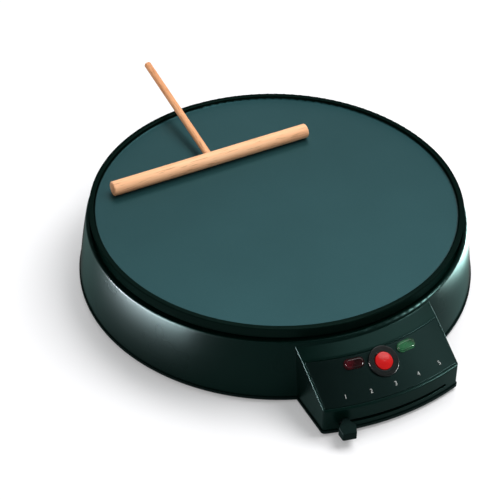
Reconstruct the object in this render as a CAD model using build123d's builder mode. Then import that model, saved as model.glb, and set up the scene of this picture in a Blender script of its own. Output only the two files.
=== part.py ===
from build123d import *
import os
from math import atan, atan2, cos, degrees, radians, sin, tan

# Electric crepe maker. Millimetres, +Z up. The origin is on the griddle plate's axis at table
# level; the control pod points along -Y and the mains inlet along +Y. Angles called "bearing"
# are measured about Z from -Y towards +X.

full_turn = 360.0  # degrees

# ------------------------------------------------------------------ driving dimensions
# Stack, from the table up
foot_drop = 3.0  # the feet hold the base cover this far off the table
cover_thickness = 2.5
shell_height = 49.5
plate_gap = 2.6  # shadow gap between the housing's ledge and the plate's wall
plate_wall_height = 8.2
lip_height = 3.0
plate_thickness = 4.5

# Griddle plate
plate_radius = 150.0
lip_width = 4.5
lip_edge_radius = 0.8
well_radius = 1.6  # fillet where the lip meets the cooking surface
plate_boss_radius = 7.0
plate_screw_circle = 126.0
plate_screw_count = 4
plate_screw_start = 45.0

# Housing shell
wall = 2.5
skirt_top_radius = 152.6
skirt_bottom_radius = 159.4
skirt_bulge = 0.65  # how far the flared skirt bows out of a straight cone
shoulder_radius = 1.8
ledge_inner_radius = 112.0
ledge_lip_depth = 5.0
ledge_boss_depth = 3.0
seat_boss_radius = 6.5

# Control pod
pod_half_width = 57.8
pod_crest_stand = 8.8  # how far the panel's crest stands out of the skirt
panel_run = 34.5  # level distance from the panel's crest to the pod's front face
pod_front_height = 19.5  # height of the pod's front face above the shell's lower edge
panel_slope = 31.9  # degrees below horizontal, along a line out from the plate's axis
brow_slope = 27.0  # degrees, the band between the panel's crest and the skirt
brow_reach = 12.0
pod_back_overlap = 11.0  # how far the pod's body runs on inside the skirt
pod_edge_radius = 1.0
pod_corner_radius = 2.5

# Control fascia, let into the top of the pod
fascia_thickness = 1.6
fascia_border = 1.5
fascia_clearance = 0.15
fascia_edge_chamfer = 0.4

# Temperature scale and lever
scale_step = 6.15  # degrees between neighbouring numerals
scale_marks = 5
lever_z = 11.5  # height of the lever strip's middle
lever_thickness = 2.0
lever_width = 9.0
lever_neck_width = 6.0
lever_neck_length = 18.0
lever_grip_depth = 8.0  # how far the strip reaches into the knob
lever_hub_radius = 8.0
slot_clearance = 0.5
knob_gap = 0.7
knob_length = 13.5
knob_width = 13.5
knob_back_width = 4.5
knob_front_width = 10.5
knob_taper_length = 6.5
knob_height = 9.5
knob_front_drop = 2.6
knob_edge_radius = 0.8
fit_clearance = 0.05  # radial, between pieces that plug together
running_clearance = 0.05  # radial, between a shaft and its bearing

# Push button and switch
button_radius = 6.8
button_radial_gap = 0.35
button_stand = 3.0  # how far the cap stands out of the fascia
button_travel = 2.2
button_skirt = 3.0
button_crown = 0.9
button_from_crest = 11.0  # level distance of the button's middle from the panel's crest
bezel_radius = 12.0
bezel_height = 1.3
bezel_edge_radius = 0.4
bezel_wall = 1.4
bezel_depth = 7.0
stem_radius = 2.4
stem_length = 8.0
stem_gap = 0.3
switch_size = 21.0
switch_depth = 13.0
switch_collar = 1.5
roof_gap = 0.2  # flat seats under the curved roof stand this far off it
spring_wire = 0.2  # radius of the wire
spring_turns = 3.0

# Indicator lenses and lamps
lens_from_crest = 7.0
lens_bearing = 7.5
lens_length = 14.4
lens_width = 6.4
lens_flange = 0.9
lens_flange_height = 0.8
lens_crown = 0.9
lens_edge_radius = 0.7
lens_depth = 6.0
lens_wall = 1.2
holder_height = 7.0
holder_wall = 1.2
lamp_radius = 1.9
lamp_length = 9.0

# Heating element
element_ring_radius = 88.0
element_tube_radius = 3.5
element_gap_bearing = 18.0
element_bend_radius = 9.0
element_leg_length = 12.0
channel_depth = 5.0
channel_wall = 2.5
insulator_radius = 5.5
insulator_flange = 2.0
insulator_flange_height = 2.0
insulator_below = 3.0
tab_width = 4.8
tab_thickness = 0.8
tab_length = 8.0
strap_width = 12.0
strap_thickness = 1.0
strap_ear = 6.5
strap_count = 3
strap_start = 90.0
strap_screw_radius = 1.5
strap_screw_length = 4.0
strap_screw_head_height = 1.5

# Heat shield
shield_thickness = 0.6
pan_radius = 104.0
pan_depth = 14.1
shield_flange_radius = 143.0
pan_fillet = 2.0
washer_thickness = 1.0
washer_radius = 6.0

# Screws
plate_screw_radius = 1.95
plate_screw_length = 11.0
plate_screw_head_radius = 3.7
plate_screw_head_height = 2.4
hole_clearance = 0.3
thread_clearance = 0.05
screw_tip_clearance = 0.3
drive_width = 0.9
drive_depth = 1.0
base_screw_radius = 1.6
base_screw_length = 12.0
base_screw_head_radius = 3.2
base_screw_head_height = 2.0
head_recess = 1.2

# Base cover, bosses and feet
cover_lip = 0.8
skirt_boss_radius = 4.0
skirt_boss_inset = 6.9  # of the boss's axis from the skirt's lower edge
skirt_boss_web = 2.0
skirt_boss_height = 36.0
skirt_boss_start = 40.0
skirt_boss_count = 4
pod_boss_height = 13.0
pod_boss_inset = 6.0
pod_boss_setback = 17.5  # from the pod's front face
rim_width = 1.8
rim_height = 4.0
rim_clearance = 0.4
vent_circle = 92.0
vent_length = 30.0
vent_width = 2.6
vent_count = 24
foot_radius = 9.0
foot_inset = 26.2  # of the feet's axes from the skirt's lower edge
foot_count = 4
foot_start = 45.0
front_foot_setback = 19.5  # from the pod's front face
foot_edge_radius = 1.0
foot_plug_radius = 3.5
foot_barb_radius = 4.4
foot_barb_height = 2.0
foot_barb_taper = 20.0

# Thermostat
thermostat_length = 30.0
thermostat_width = 24.0
thermostat_height = 15.0
bracket_thickness = 1.2
bracket_cheek_height = 12.0
bracket_ear_length = 10.0
rivet_radius = 1.6
rivet_head_radius = 2.8
rivet_head_height = 0.9
spindle_radius = 3.0
spindle_engagement = 9.0
spindle_end_gap = 0.3
collar_radius = 5.5
collar_height = 5.0
lever_screw_radius = 1.4
lever_screw_length = 10.0
lever_screw_head_radius = 3.0
lever_screw_head_height = 1.8
thermostat_tab_offset = 8.0

# Sensor bulb and its capillary
bulb_radius = 2.5
bulb_length = 36.0
bulb_edge_radius = 1.2
bulb_distance = 40.0
bulb_strap_offset = 10.0
bulb_pad_height = 2.0
bulb_strap_width = 6.0
capillary_radius = 0.9
capillary_hole_radius = 3.0
capillary_run = 12.0  # how far the capillary runs out from the bulb before it turns down

# Thermal fuse
fuse_radius = 2.6
fuse_length = 22.0
fuse_x = 30.0
fuse_y = 61.0
fuse_strap_width = 7.0

# Terminal block and earth tab
block_length = 34.0
block_width = 16.0
block_height = 16.0
block_distance = 120.0
block_pitch = 10.0
block_hole_radius = 1.8
block_hole_height = 6.5
block_rail_height = 4.5
block_rail_width = 2.0
block_screw_radius = 1.5
block_screw_length = 5.0
block_screw_head_radius = 2.4
block_screw_head_height = 1.2
earth_tab_x = -20.0
earth_tab_y = 90.0
earth_tab_drop = 9.0
earth_tab_ear = 8.5

# Mains inlet bush
inlet_height = 16.0
inlet_bore_radius = 3.75
inlet_body_radius = 6.0
inlet_flange_radius = 8.8
inlet_flange_stand = 3.2
inlet_inner_length = 8.0
inlet_edge_radius = 1.0

# Internal leads
lead_radius = 1.2
lead_bend_share = 0.45
tab_lead_run = 11.0  # how far a lead runs straight out from a tab or the fuse
switch_lead_run = 16.0

# Spreader, lying on the plate
spreader_rest_gap = 0.3
bar_radius = 6.0
bar_length = 177.0
bar_edge_radius = 1.2
bar_x = -24.4
bar_y = 69.6
bar_turn = 0.7  # degrees from parallel to X
handle_radius = 3.0
handle_length = 124.5  # from the bar's axis to the handle's tip
handle_rise = 8.5  # degrees above horizontal
handle_edge_radius = 1.2
handle_socket_depth = 4.5  # how far the handle is let into the bar

# ------------------------------------------------------------------ derived levels and places
cover_bottom = foot_drop
shell_bottom = cover_bottom + cover_thickness
shell_top = shell_bottom + shell_height
plate_wall_bottom = shell_top + plate_gap
lip_top = plate_wall_bottom + plate_wall_height
cooking_level = lip_top - lip_height
plate_underside = cooking_level - plate_thickness
ledge_underside = shell_top - wall
shield_top = shell_top + shield_thickness
washer_top = shield_top + washer_thickness
pan_underside = shell_top - pan_depth
pan_floor_top = pan_underside + shield_thickness
element_level = plate_underside - channel_depth
leg_bottom = element_level - element_bend_radius - element_leg_length
lever_half_travel = scale_step * (scale_marks - 1) / 2
lever_bottom = lever_z - lever_thickness / 2
lever_top = lever_z + lever_thickness / 2
pod_front_top = shell_bottom + pod_front_height
pod_crest_level = pod_front_top + panel_run * tan(radians(panel_slope))
brow_level = pod_crest_level + brow_reach * tan(radians(brow_slope))
skirt_boss_circle = skirt_bottom_radius - skirt_boss_inset
foot_circle = skirt_bottom_radius - foot_inset
thermostat_top = pan_underside - bracket_thickness
thermostat_bottom = thermostat_top - thermostat_height
plate_hole_top = shell_top - wall - ledge_boss_depth + plate_screw_length + screw_tip_clearance


def skirt_radius(level):
    """Outer radius of the flared skirt at a height."""
    share = (level - shell_bottom) / shell_height
    cone = skirt_bottom_radius + share * (skirt_top_radius - skirt_bottom_radius)
    return cone + 4 * skirt_bulge * share * (1 - share)


pod_crest_radius = skirt_radius(pod_crest_level) + pod_crest_stand
pod_front_radius = pod_crest_radius + panel_run
brow_radius = pod_crest_radius - brow_reach
pod_back_radius = brow_radius - pod_back_overlap
button_bearing_radius = pod_crest_radius + button_from_crest
lens_radius_out = pod_crest_radius + lens_from_crest
pod_boss_distance = pod_front_radius - pod_boss_setback
front_foot_distance = pod_front_radius - front_foot_setback


def panel_level(radius):
    """Height of the sloping panel at a distance from the plate's axis."""
    return pod_front_top + (pod_front_radius - radius) * tan(radians(panel_slope))


def at_bearing(bearing, radius, level=0.0):
    """Point at a bearing and a distance from the plate's axis."""
    return Vector(radius * sin(radians(bearing)), -radius * cos(radians(bearing)), level)


def radial_plane(bearing, radius=0.0, level=0.0):
    """Upright plane at a bearing: local x runs outwards, local y up."""
    outward = at_bearing(bearing, 1.0)
    return Plane(
        origin=at_bearing(bearing, radius, level),
        x_dir=outward,
        z_dir=outward.cross(Vector(0, 0, 1)),
    )


def panel_plane(bearing, radius):
    """Plane on the sloping panel: local x along the panel's arc, local z out of it."""
    outward = at_bearing(bearing, 1.0)
    along = Vector(0, 0, 1).cross(outward)
    normal = outward * sin(radians(panel_slope)) + Vector(0, 0, cos(radians(panel_slope)))
    return Plane(
        origin=at_bearing(bearing, radius, panel_level(radius)), x_dir=along, z_dir=normal
    )


def polar_places(radius, count, start):
    """Centres of a ring of features, counted from a bearing."""
    return [at_bearing(start + full_turn * i / count, radius) for i in range(count)]


def screws(places, seat, shank_radius, length, head_radius, head_height, upward=True):
    """Pan-head screws on upright axes; seat is the level under their heads."""
    up = 1 if upward else -1
    with BuildSketch(Plane.XY.offset(seat)) as shanks:
        with Locations(*places):
            Circle(shank_radius)
    extrude(shanks.sketch, amount=up * length)
    with BuildSketch(Plane.XY.offset(seat)) as heads:
        with Locations(*places):
            Circle(head_radius)
    extrude(heads.sketch, amount=-up * head_height)
    with BuildSketch(Plane.XY.offset(seat - up * head_height)) as drives:
        with Locations(*places):
            Rectangle(head_radius, drive_width)
            Rectangle(drive_width, head_radius)
    extrude(drives.sketch, amount=up * min(drive_depth, head_height / 2), mode=Mode.SUBTRACT)


def holes(places, bottom, top, radius):
    """Upright round holes between two levels."""
    with BuildSketch(Plane.XY.offset(bottom)) as mouths:
        with Locations(*places):
            Circle(radius)
    extrude(mouths.sketch, amount=top - bottom, mode=Mode.SUBTRACT)


def saddle_strap(plane, tube_radius, seat_drop, width, ear):
    """Strap bent under a tube that runs along the plane's normal; its ears lie under y = 0."""
    inner = tube_radius + fit_clearance
    outer = inner + strap_thickness
    depth = seat_drop + outer
    with BuildSketch(plane) as strap:
        with Locations((0, -seat_drop)):
            Circle(outer)
            Rectangle(2 * outer, depth, align=(Align.CENTER, Align.MIN))
        Rectangle(2 * (outer + ear), strap_thickness, align=(Align.CENTER, Align.MAX))
        with Locations((0, -seat_drop)):
            Circle(inner, mode=Mode.SUBTRACT)
            Rectangle(2 * inner, depth, align=(Align.CENTER, Align.MIN), mode=Mode.SUBTRACT)
        Rectangle(
            2 * (outer + ear), depth, align=(Align.CENTER, Align.MAX), mode=Mode.INTERSECT
        )
    extrude(strap.sketch, amount=width / 2, both=True)


def strap_screw_offset(tube_radius, ear):
    """Distance of a strap's screws from the tube's axis."""
    return tube_radius + fit_clearance + strap_thickness + ear / 2


def tube(points, radius):
    """Tube or lead swept along straight runs joined by the largest arcs they allow."""
    runs = [b - a for a, b in zip(points, points[1:])]
    radii = [
        lead_bend_share * min(a.length, b.length) / tan(radians(a.get_angle(b)) / 2)
        for a, b in zip(runs, runs[1:])
    ]
    with BuildLine() as route:
        FilletPolyline(*points, radius=radii)
    with BuildSketch(Plane(origin=points[0], z_dir=runs[0])) as section:
        Circle(radius)
    sweep(section.sketch, path=route.line)


def section_plane(plane):
    """Plane that holds a panel plane's local x and, as its own y, that plane's normal."""
    return Plane(origin=plane.origin, x_dir=plane.x_dir, z_dir=-plane.y_dir)


def panel_band(inner_radius, outer_radius, above, below, edge_chamfer=0.0):
    """Ring-shaped slab that follows the sloping panel, between two heights off its face."""
    off_face = Vector(sin(radians(panel_slope)), cos(radians(panel_slope)))
    inner_edge = Vector(inner_radius, panel_level(inner_radius))
    outer_edge = Vector(outer_radius, panel_level(outer_radius))
    with BuildSketch(Plane.XZ) as slab:
        with BuildLine():
            Polyline(
                inner_edge + off_face * above,
                outer_edge + off_face * above,
                outer_edge - off_face * below,
                inner_edge - off_face * below,
                close=True,
            )
        make_face()
        if edge_chamfer > 0:
            face_corners = slab.vertices().sort_by(Axis((0, 0, 0), off_face))[-2:]
            chamfer(face_corners, edge_chamfer)
    revolve(slab.sketch, axis=Axis.Z)


def keep_front_strip(half_width):
    """Trim the part to a strip with parallel sides in front of the axis."""
    with BuildSketch() as strip:
        Rectangle(2 * half_width, 2 * pod_front_radius, align=(Align.CENTER, Align.MAX))
    extrude(strip.sketch, amount=lip_top, mode=Mode.INTERSECT)


plate_screw_places = polar_places(plate_screw_circle, plate_screw_count, plate_screw_start)
strap_bearings = [
    strap_start + (full_turn - 2 * strap_start) * i / (strap_count - 1)
    for i in range(strap_count)
]
bulb_strap_places = [Vector(side * bulb_strap_offset, bulb_distance) for side in (-1, 1)]
element_strap_screw = strap_screw_offset(element_tube_radius, strap_ear)
bulb_strap_screw = strap_screw_offset(bulb_radius, strap_ear)
fuse_strap_screw = strap_screw_offset(fuse_radius, strap_ear)
element_strap_screw_places = [
    at_bearing(bearing, element_ring_radius + side * element_strap_screw)
    for bearing in strap_bearings
    for side in (-1, 1)
]
bulb_strap_screw_places = [
    place + Vector(0, side * bulb_strap_screw) for place in bulb_strap_places for side in (-1, 1)
]
fuse_rivet_places = [Vector(fuse_x + side * fuse_strap_screw, fuse_y) for side in (-1, 1)]
bracket_rivet_places = [
    Vector(0, side * (thermostat_width + bracket_ear_length) / 2) for side in (-1, 1)
]
capillary_hole_place = Vector(-bulb_length / 2 - capillary_run, bulb_distance - capillary_run)
earth_rivet_place = Vector(earth_tab_x, earth_tab_y - earth_tab_ear / 2 - tab_thickness)
leg_places = [
    at_bearing(side * element_gap_bearing, element_ring_radius)
    + radial_plane(side * element_gap_bearing).z_dir * (side * element_bend_radius)
    for side in (-1, 1)
]
base_screw_seat = cover_bottom + head_recess
skirt_boss_places = polar_places(skirt_boss_circle, skirt_boss_count, skirt_boss_start)
pod_boss_places = [
    Vector(side * (pod_half_width - pod_boss_inset), -pod_boss_distance) for side in (-1, 1)
]
base_screw_places = skirt_boss_places + pod_boss_places
slot_half_angle = lever_half_travel + degrees(
    atan((lever_neck_width / 2 + slot_clearance) / (pod_front_radius - wall))
)
button_plane = panel_plane(0, button_bearing_radius)
lens_planes = [panel_plane(side * lens_bearing, lens_radius_out) for side in (-1, 1)]
bezel_bore_radius = button_radius + button_radial_gap
bezel_neck_radius = bezel_bore_radius + bezel_wall
stem_bottom_travelled = button_skirt + stem_length + button_travel + stem_gap
switch_tab_offsets = [(side * (switch_size - tab_width) / 3, 0) for side in (-1, 1)]
roof_seat = fascia_thickness + wall + roof_gap
inlet_plane = Plane(
    origin=(0, skirt_radius(inlet_height) - wall / 2, inlet_height), z_dir=(0, 1, 0)
)
foot_places = polar_places(foot_circle, foot_count, foot_start) + [
    Vector(0, -front_foot_distance)
]
thermostat_tab_plane = Plane(
    origin=(0, thermostat_width / 2, (thermostat_top + thermostat_bottom) / 2),
    x_dir=(1, 0, 0),
    z_dir=(0, 1, 0),
)
fuse_level = pan_underside - fuse_radius
block_hole_level = shell_bottom + block_hole_height
block_hole_offsets = [(step * block_pitch, 0) for step in (-1, 0, 1)]
block_screw_places = [
    Vector(step * block_pitch, block_distance + side * block_width / 4)
    for step in (-1, 0, 1)
    for side in (-1, 1)
]
block_screw_seat = shell_bottom + block_hole_height + block_hole_radius + block_screw_length
bar_level = cooking_level + spreader_rest_gap + bar_radius
bar_plane = Plane(origin=(bar_x, bar_y, bar_level)).rotated((0, 0, bar_turn))
handle_plane = Plane(
    origin=bar_plane.origin,
    x_dir=bar_plane.x_dir,
    z_dir=bar_plane.y_dir * cos(radians(handle_rise))
    + Vector(0, 0, sin(radians(handle_rise))),
)

# ------------------------------------------------------------------ routes of the internal leads
block_face = block_distance - block_width / 2
fuse_end = fuse_length / 2
tab_face = Vector(0, tab_thickness / 2, leg_bottom - tab_length / 2)
left_tab, right_tab = [Vector(place.X, place.Y) + tab_face for place in leg_places]
switch_tab_middle = bezel_depth + switch_depth + tab_length / 2
left_switch_tab, right_switch_tab = [
    button_plane.from_local_coords(Vector(x, tab_thickness / 2, -switch_tab_middle))
    for x, _ in switch_tab_offsets
]
switch_approach = button_plane.y_dir * switch_lead_run
tab_approach = Vector(0, tab_lead_run, 0)
earth_tab_face = Vector(earth_tab_x, earth_tab_y, pan_underside - earth_tab_drop / 2)
left_thermostat_tab, right_thermostat_tab = [
    thermostat_tab_plane.from_local_coords(Vector(side * thermostat_tab_offset, 0, tab_length))
    for side in (-1, 1)
]
capillary_route = [
    Vector(-bulb_length / 2 + bulb_radius, bulb_distance, plate_underside - bulb_radius),
    Vector(capillary_hole_place.X, bulb_distance - 1, plate_underside - bulb_radius),
    Vector(capillary_hole_place.X, capillary_hole_place.Y, 50),
    Vector(capillary_hole_place.X, capillary_hole_place.Y, 37),
    Vector(-18, 26, 30),
    Vector(0, 25, 29),
    Vector(0, thermostat_width / 2, 29),
]
lead_routes = {
    "live_lead": [
        Vector(-block_pitch, block_face, block_hole_level),
        Vector(-block_pitch, 102, block_hole_level),
        Vector(-16, 92, 16),
        Vector(-36, 78, 23),
        Vector(-58, 50, 29),
        Vector(-66, 0, 29),
        Vector(-58, -50, 29),
        Vector(-40, -100, 29),
        Vector(-18, -130, 32),
        left_switch_tab + switch_approach,
        left_switch_tab,
    ],
    "switched_lead": [
        right_switch_tab,
        right_switch_tab + switch_approach,
        Vector(20, -128, 32),
        Vector(42, -96, 29),
        Vector(56, -50, 29),
        Vector(52, 0, 29),
        Vector(36, 30, 31),
        Vector(14, 40, 34),
        right_thermostat_tab + tab_approach,
        right_thermostat_tab,
    ],
    "element_lead": [
        left_thermostat_tab,
        left_thermostat_tab + tab_approach,
        Vector(-22, 42, 32),
        Vector(-44, 30, 30),
        Vector(-52, 0, 29),
        Vector(-48, -40, 29),
        Vector(-28, -66, 30),
        left_tab + tab_approach,
        left_tab,
    ],
    "fuse_lead": [
        Vector(fuse_x, fuse_y - fuse_end, fuse_level),
        Vector(fuse_x, fuse_y - fuse_end, fuse_level) - tab_approach,
        Vector(42, 10, 36),
        Vector(46, -26, 31),
        Vector(38, -56, 30),
        right_tab + tab_approach,
        right_tab,
    ],
    "neutral_lead": [
        Vector(block_pitch, block_face, block_hole_level),
        Vector(block_pitch, 102, block_hole_level),
        Vector(16, 97, 21),
        Vector(25, 95, 33),
        Vector(fuse_x, fuse_y + fuse_end, fuse_level) + tab_approach,
        Vector(fuse_x, fuse_y + fuse_end, fuse_level),
    ],
    "earth_lead": [
        Vector(0, block_face, block_hole_level),
        Vector(0, 102, block_hole_level),
        Vector(-4, 97, 21),
        Vector(-13, 99, 31),
        earth_tab_face + tab_approach,
        earth_tab_face,
    ],
}

os.makedirs("parts", exist_ok=True)


def finish(builder, name):
    """Label a finished sub-part and write its STEP file."""
    builder.part.label = name
    export_step(builder.part, f"parts/{name}.step")


# ------------------------------------------------------------------ griddle plate
with BuildPart() as griddle_plate:
    with BuildSketch(Plane.XZ) as plate_section:
        with BuildLine():
            Polyline(
                (0, plate_underside),
                (plate_radius - lip_width, plate_underside),
                (plate_radius - lip_width, plate_wall_bottom),
                (plate_radius, plate_wall_bottom),
                (plate_radius, lip_top),
                (plate_radius - lip_width, lip_top),
                (plate_radius - lip_width, cooking_level),
                (0, cooking_level),
                close=True,
            )
        make_face()
        well_corner = plate_section.vertices().group_by(Axis.Y)[-2].sort_by(Axis.X)[-1]
        fillet(well_corner, well_radius)
        fillet(plate_section.vertices().group_by(Axis.Y)[-1], lip_edge_radius)
    revolve(axis=Axis.Z)
    with BuildSketch(Plane.XY.offset(washer_top)):
        with Locations(*plate_screw_places):
            Circle(plate_boss_radius)
    extrude(amount=plate_underside - washer_top)
    # channel for the heating element, with a pad for each strap, open between the cold ends
    channel_half_width = element_tube_radius + channel_wall
    channel_gap = 2 * element_ring_radius * sin(radians(element_gap_bearing))
    with BuildSketch(Plane.XY.offset(element_level)):
        Circle(element_ring_radius + channel_half_width)
        Circle(element_ring_radius - channel_half_width, mode=Mode.SUBTRACT)
        for bearing in strap_bearings:
            with Locations(at_bearing(bearing, element_ring_radius)):
                Rectangle(
                    2 * (element_strap_screw + strap_ear / 2), strap_width, rotation=bearing - 90
                )
        Rectangle(
            channel_gap,
            2 * element_ring_radius,
            align=(Align.CENTER, Align.MAX),
            mode=Mode.SUBTRACT,
        )
    extrude(amount=channel_depth)
    with BuildSketch(radial_plane(0, element_ring_radius, element_level)):
        Circle(element_tube_radius + fit_clearance)
    revolve(axis=Axis.Z, mode=Mode.SUBTRACT)
    # pads either side of the sensor bulb
    bulb_pad_level = plate_underside - bulb_pad_height
    with BuildSketch(Plane.XY.offset(bulb_pad_level)):
        with Locations(*bulb_strap_places):
            Rectangle(bulb_strap_width, 2 * (bulb_strap_screw + strap_ear / 2))
            Rectangle(bulb_strap_width, 2 * (bulb_radius + fit_clearance), mode=Mode.SUBTRACT)
    extrude(amount=bulb_pad_height)
    holes(
        plate_screw_places, washer_top, plate_hole_top, plate_screw_radius + thread_clearance
    )
    strap_thread = strap_screw_length - strap_thickness + screw_tip_clearance
    strap_hole_radius = strap_screw_radius + thread_clearance
    holes(
        element_strap_screw_places, element_level, element_level + strap_thread, strap_hole_radius
    )
    holes(
        bulb_strap_screw_places, bulb_pad_level, bulb_pad_level + strap_thread, strap_hole_radius
    )
finish(griddle_plate, "griddle_plate")

# ------------------------------------------------------------------ heating element
with BuildPart() as heating_element:
    with BuildSketch(radial_plane(element_gap_bearing, element_ring_radius, element_level)):
        Circle(element_tube_radius)
    revolve(axis=Axis.Z, revolution_arc=full_turn - 2 * element_gap_bearing)
    for side, leg_place in zip((-1, 1), leg_places):
        bend_plane = radial_plane(
            side * element_gap_bearing, element_ring_radius, element_level
        )
        bend_centre = bend_plane.origin - Vector(0, 0, element_bend_radius)
        with BuildSketch(bend_plane):
            Circle(element_tube_radius)
        revolve(axis=Axis(bend_centre, bend_plane.x_dir * side), revolution_arc=90)
        with BuildSketch(Plane.XY.offset(element_level - element_bend_radius)):
            with Locations(leg_place):
                Circle(element_tube_radius)
        extrude(amount=-element_leg_length)
finish(heating_element, "heating_element")

with BuildPart() as element_insulators:
    with BuildSketch(Plane.XY.offset(pan_floor_top)):
        with Locations(*leg_places):
            Circle(insulator_radius + insulator_flange)
    extrude(amount=insulator_flange_height)
    with BuildSketch(Plane.XY.offset(pan_underside - insulator_below)):
        with Locations(*leg_places):
            Circle(insulator_radius)
    extrude(amount=insulator_below + shield_thickness)
    holes(
        leg_places,
        pan_underside - insulator_below,
        pan_floor_top + insulator_flange_height,
        element_tube_radius + fit_clearance,
    )
finish(element_insulators, "element_insulators")

with BuildPart() as element_tabs:
    with BuildSketch(Plane.XY.offset(leg_bottom)):
        with Locations(*leg_places):
            Rectangle(tab_width, tab_thickness)
    extrude(amount=-tab_length)
finish(element_tabs, "element_tabs")

with BuildPart() as element_straps:
    for bearing in strap_bearings:
        saddle_strap(
            radial_plane(bearing, element_ring_radius, element_level),
            element_tube_radius,
            0,
            strap_width,
            strap_ear,
        )
    with BuildSketch(radial_plane(0, element_ring_radius, element_level)):
        Circle(element_tube_radius + fit_clearance)
    revolve(axis=Axis.Z, mode=Mode.SUBTRACT)
    holes(
        element_strap_screw_places,
        element_level - strap_thickness,
        element_level,
        strap_screw_radius + hole_clearance,
    )
finish(element_straps, "element_straps")

with BuildPart() as strap_screws:
    screws(
        element_strap_screw_places,
        element_level - strap_thickness,
        strap_screw_radius,
        strap_screw_length,
        strap_ear / 2 - hole_clearance,
        strap_screw_head_height,
    )
    screws(
        bulb_strap_screw_places,
        bulb_pad_level - strap_thickness,
        strap_screw_radius,
        strap_screw_length,
        strap_ear / 2 - hole_clearance,
        strap_screw_head_height,
    )
finish(strap_screws, "strap_screws")

# ------------------------------------------------------------------ heat shield and plate seat
with BuildPart() as heat_shield:
    with BuildSketch(Plane.XZ) as shield_section:
        with BuildLine():
            Polyline(
                (0, pan_underside),
                (pan_radius, pan_underside),
                (pan_radius, shell_top),
                (shield_flange_radius, shell_top),
                (shield_flange_radius, shield_top),
                (pan_radius - shield_thickness, shield_top),
                (pan_radius - shield_thickness, pan_floor_top),
                (0, pan_floor_top),
                close=True,
            )
        make_face()
        bends = shield_section.vertices().group_by(Axis.X)
        fillet(bends[-2].sort_by(Axis.Y)[0], pan_fillet + shield_thickness)
        fillet(bends[-3].sort_by(Axis.Y)[0], pan_fillet)
    revolve(axis=Axis.Z)
    holes(plate_screw_places, shell_top, shield_top, plate_screw_radius + hole_clearance)
    holes(leg_places, pan_underside, pan_floor_top, insulator_radius + fit_clearance)
    holes(
        bracket_rivet_places + fuse_rivet_places + [earth_rivet_place],
        pan_underside,
        pan_floor_top,
        rivet_radius + fit_clearance,
    )
    holes([capillary_hole_place], pan_underside, pan_floor_top, capillary_hole_radius)
finish(heat_shield, "heat_shield")

with BuildPart() as insulating_washers:
    with BuildSketch(Plane.XY.offset(shield_top)):
        with Locations(*plate_screw_places):
            Circle(washer_radius)
            Circle(plate_screw_radius + hole_clearance, mode=Mode.SUBTRACT)
    extrude(amount=washer_thickness)
finish(insulating_washers, "insulating_washers")

with BuildPart() as plate_screws:
    screws(
        plate_screw_places,
        ledge_underside - ledge_boss_depth,
        plate_screw_radius,
        plate_screw_length,
        plate_screw_head_radius,
        plate_screw_head_height,
    )
finish(plate_screws, "plate_screws")

# ------------------------------------------------------------------ housing shell
with BuildPart() as skirt_body:
    with BuildSketch(Plane.XZ) as skirt_section:
        with BuildLine():
            Polyline(
                (skirt_bottom_radius, shell_bottom),
                (0, shell_bottom),
                (0, shell_top),
                (skirt_top_radius, shell_top),
            )
            ThreePointArc(
                (skirt_top_radius, shell_top),
                (skirt_radius(shell_bottom + shell_height / 2), shell_bottom + shell_height / 2),
                (skirt_bottom_radius, shell_bottom),
            )
        make_face()
        shoulder = skirt_section.vertices().group_by(Axis.Y)[-1].sort_by(Axis.X)[-1]
        fillet(shoulder, shoulder_radius)
    revolve(axis=Axis.Z)

with BuildPart() as skirt_cavity:
    with BuildSketch(Plane.XZ):
        with BuildLine():
            Polyline(
                (skirt_bottom_radius - wall, shell_bottom),
                (0, shell_bottom),
                (0, ledge_underside),
                (skirt_radius(ledge_underside) - wall, ledge_underside),
            )
            ThreePointArc(
                (skirt_radius(ledge_underside) - wall, ledge_underside),
                (
                    skirt_radius((shell_bottom + ledge_underside) / 2) - wall,
                    (shell_bottom + ledge_underside) / 2,
                ),
                (skirt_bottom_radius - wall, shell_bottom),
            )
        make_face()
    revolve(axis=Axis.Z)


def pod_footprint(grow=0.0):
    """Plan outline of the pod: parallel sides and an arc-shaped front with round corners."""
    Circle(pod_front_radius + grow)
    Rectangle(
        2 * (pod_half_width + grow),
        2 * pod_front_radius,
        align=(Align.CENTER, Align.MAX),
        mode=Mode.INTERSECT,
    )


with BuildPart() as pod_body:
    with BuildSketch(Plane.XZ):
        with BuildLine():
            Polyline(
                (pod_back_radius, shell_bottom),
                (pod_front_radius, shell_bottom),
                (pod_front_radius, pod_front_top),
                (pod_crest_radius, pod_crest_level),
                (brow_radius, brow_level),
                (pod_back_radius, brow_level),
                close=True,
            )
        make_face()
    revolve(axis=Axis.Z)
    with BuildSketch(Plane.XY.offset(shell_bottom)) as pod_outline:
        pod_footprint()
        pod_corners = pod_outline.vertices().group_by(Axis.Y)[0]
        fillet(pod_corners, pod_corner_radius)
    extrude(amount=shell_height, mode=Mode.INTERSECT)
    pod_top_face = pod_body.faces().filter_by(GeomType.CONE).sort_by(Axis.Y)[0]
    fillet(pod_top_face.edges().sort_by(Axis.Y)[:-1], pod_edge_radius)

roof_drop = (fascia_thickness + wall) / cos(radians(panel_slope))
with BuildPart() as pod_cavity:
    with BuildSketch(Plane.XZ):
        with BuildLine():
            Polyline(
                (pod_back_radius, shell_bottom),
                (pod_front_radius - wall, shell_bottom),
                (pod_front_radius - wall, panel_level(pod_front_radius - wall) - roof_drop),
                (pod_crest_radius, pod_crest_level - roof_drop),
                (brow_radius, brow_level - roof_drop),
                (pod_back_radius, brow_level - roof_drop),
                close=True,
            )
        make_face()
    revolve(axis=Axis.Z)
    keep_front_strip(pod_half_width - wall)

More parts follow.
